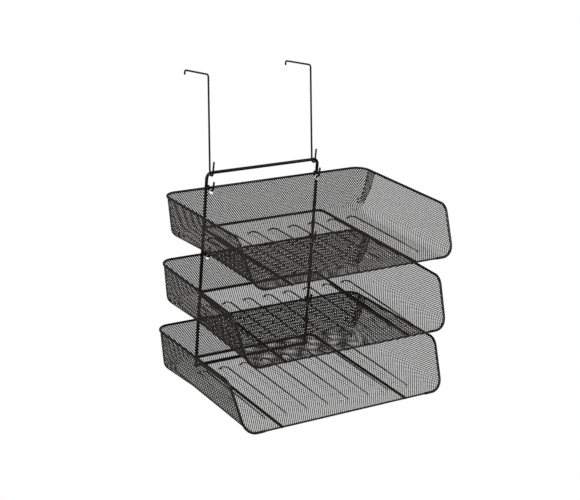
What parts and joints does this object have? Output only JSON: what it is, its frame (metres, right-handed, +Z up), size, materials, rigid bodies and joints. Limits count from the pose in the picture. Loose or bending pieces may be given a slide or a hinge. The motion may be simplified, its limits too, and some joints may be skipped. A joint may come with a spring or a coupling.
{
  "type": "hanging letter tray",
  "caption": "Wide mesh letter trays with raised floor ribs, hung one above the other by wire hooks on a rod frame, with over-partition wire hangers.",
  "frame": {"origin": "middle of the rear side of the frame's bottom bar, on the plane that rests against the partition", "axes": "+X to the right seen from the front, +Y back towards the partition, +Z up along the uprights; the trays' open fronts face -Y"},
  "size_m": [0.3558, 0.3435, 0.4394],
  "materials": {
    "coated_wire": "semi-gloss black powder coat",
    "mesh_sheet": "satin black powder coat on expanded metal mesh",
    "eyelet_metal": "smooth pale plated eyelet ring"
  },
  "bodies": {
    "frame": {"frame_rod": "coated_wire", "frame_bottom_bar": "coated_wire", "bottom_hook_left": "coated_wire", "bottom_hook_right": "coated_wire", "middle_hook_left": "coated_wire", "middle_hook_right": "coated_wire", "top_hook_left": "coated_wire", "top_hook_right": "coated_wire"},
    "bottom_tray": {"bottom_tray_shell": "mesh_sheet", "bottom_tray_seam": "mesh_sheet", "bottom_tray_rim_wire": "coated_wire", "bottom_tray_support_wire": "coated_wire", "bottom_tray_eyelet_left": "eyelet_metal", "bottom_tray_eyelet_right": "eyelet_metal"},
    "middle_tray": {"middle_tray_shell": "mesh_sheet", "middle_tray_seam": "mesh_sheet", "middle_tray_rim_wire": "coated_wire", "middle_tray_support_wire": "coated_wire", "middle_tray_eyelet_left": "eyelet_metal", "middle_tray_eyelet_right": "eyelet_metal"},
    "top_tray": {"top_tray_shell": "mesh_sheet", "top_tray_seam": "mesh_sheet", "top_tray_rim_wire": "coated_wire", "top_tray_support_wire": "coated_wire", "top_tray_eyelet_left": "eyelet_metal", "top_tray_eyelet_right": "eyelet_metal"},
    "left_hanger": {"hanger_left": "coated_wire"},
    "right_hanger": {"hanger_right": "coated_wire"}
  },
  "joints": [
    {"name": "bottom_tray_tilt", "type": "hinge", "parent": "frame", "child": "bottom_tray", "pos_m": [0, -0.011, 0.0709], "axis": [-1, 0, 0], "range_deg": [0, 5.5]},
    {"name": "middle_tray_tilt", "type": "hinge", "parent": "frame", "child": "middle_tray", "pos_m": [0, -0.011, 0.1709], "axis": [-1, 0, 0], "range_deg": [0, 6]},
    {"name": "top_tray_tilt", "type": "hinge", "parent": "frame", "child": "top_tray", "pos_m": [0, -0.011, 0.2709], "axis": [-1, 0, 0], "range_deg": [0, 9]},
    {"name": "left_hanger_swing", "type": "hinge", "parent": "frame", "child": "left_hanger", "pos_m": [-0.09, -0.0024, 0.295], "axis": [1, 0, 0], "range_deg": [-110, 8]},
    {"name": "right_hanger_swing", "type": "hinge", "parent": "frame", "child": "right_hanger", "pos_m": [0.09, -0.0024, 0.295], "axis": [1, 0, 0], "range_deg": [-110, 8]}
  ]
}
